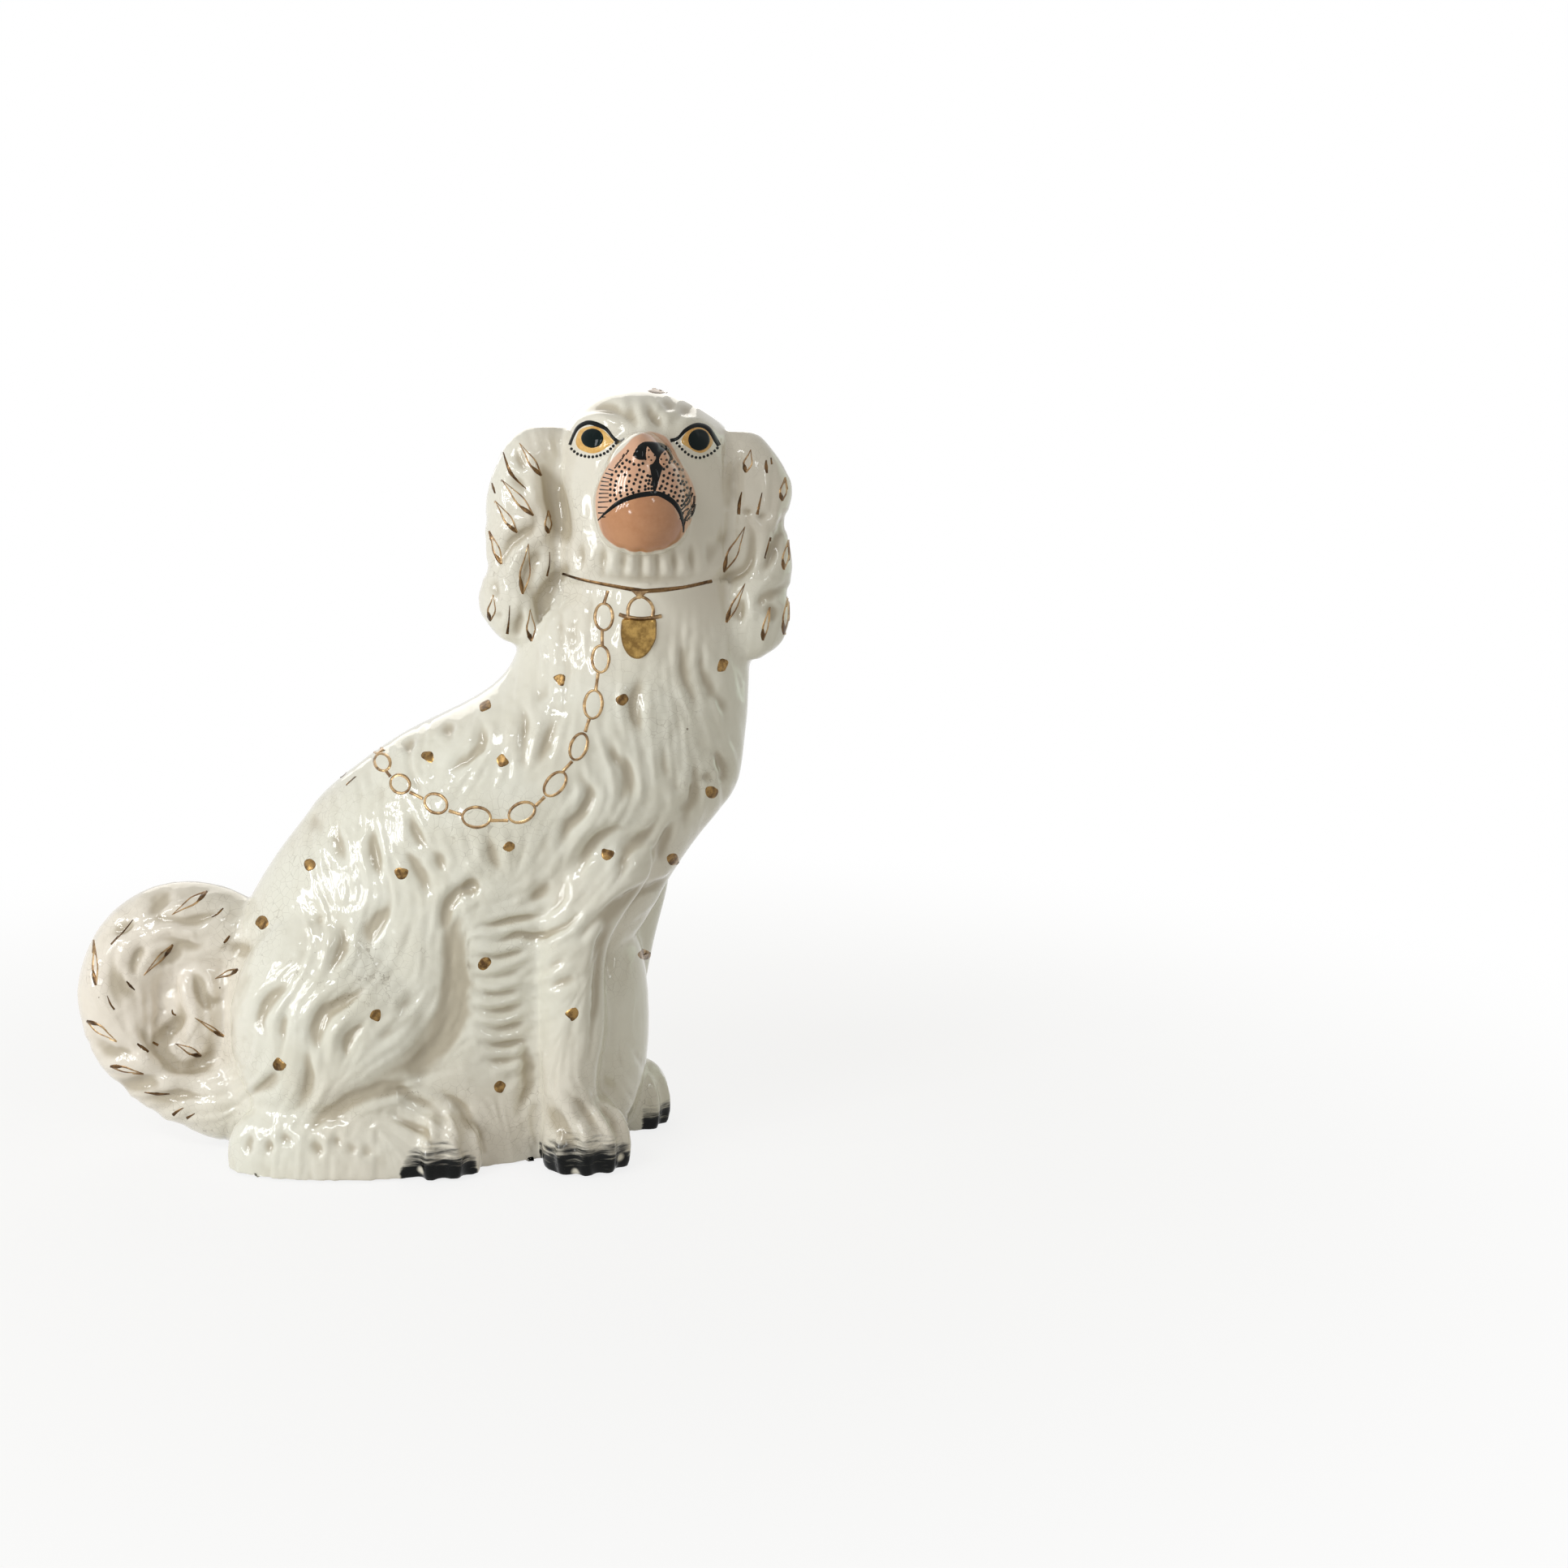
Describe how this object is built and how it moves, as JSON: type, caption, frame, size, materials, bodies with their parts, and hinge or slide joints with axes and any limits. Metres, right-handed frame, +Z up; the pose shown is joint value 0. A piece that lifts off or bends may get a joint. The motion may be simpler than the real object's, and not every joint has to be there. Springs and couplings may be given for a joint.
{
  "type": "seated spaniel mantel figure",
  "caption": "Seated pottery spaniel with its head turned to the side, curled tail, gilt collar, padlock and chain, hollow with a flat underside.",
  "frame": {"origin": "on the underside of the base plate, below the middle of the body", "axes": "+X from the tail to the chest, +Y away from the side that the face looks to, +Z up"},
  "size_m": [0.3147, 0.1204, 0.33],
  "materials": {
    "glazed_earthenware": "cream lead glaze over white earthenware, finely crazed",
    "gilding": "fired gold, worn to brown in places",
    "eye_enamel": "amber enamel with a dark pupil",
    "black_enamel": "glossy black enamel"
  },
  "bodies": {
    "root": {"body_front_shell": "glazed_earthenware", "body_back_shell": "glazed_earthenware", "head_front_shell": "glazed_earthenware", "head_back_shell": "glazed_earthenware", "near_foreleg": "glazed_earthenware", "far_foreleg": "glazed_earthenware", "tail": "glazed_earthenware", "base_plate": "glazed_earthenware", "collar": "gilding", "collar_staple": "gilding", "padlock_shackle": "gilding", "padlock_bar": "gilding", "padlock_body": "gilding", "chain_oval_links": "gilding", "chain_bar_links": "gilding", "left_eye": "eye_enamel", "right_eye": "eye_enamel", "nose": "black_enamel"}
  },
  "joints": []
}
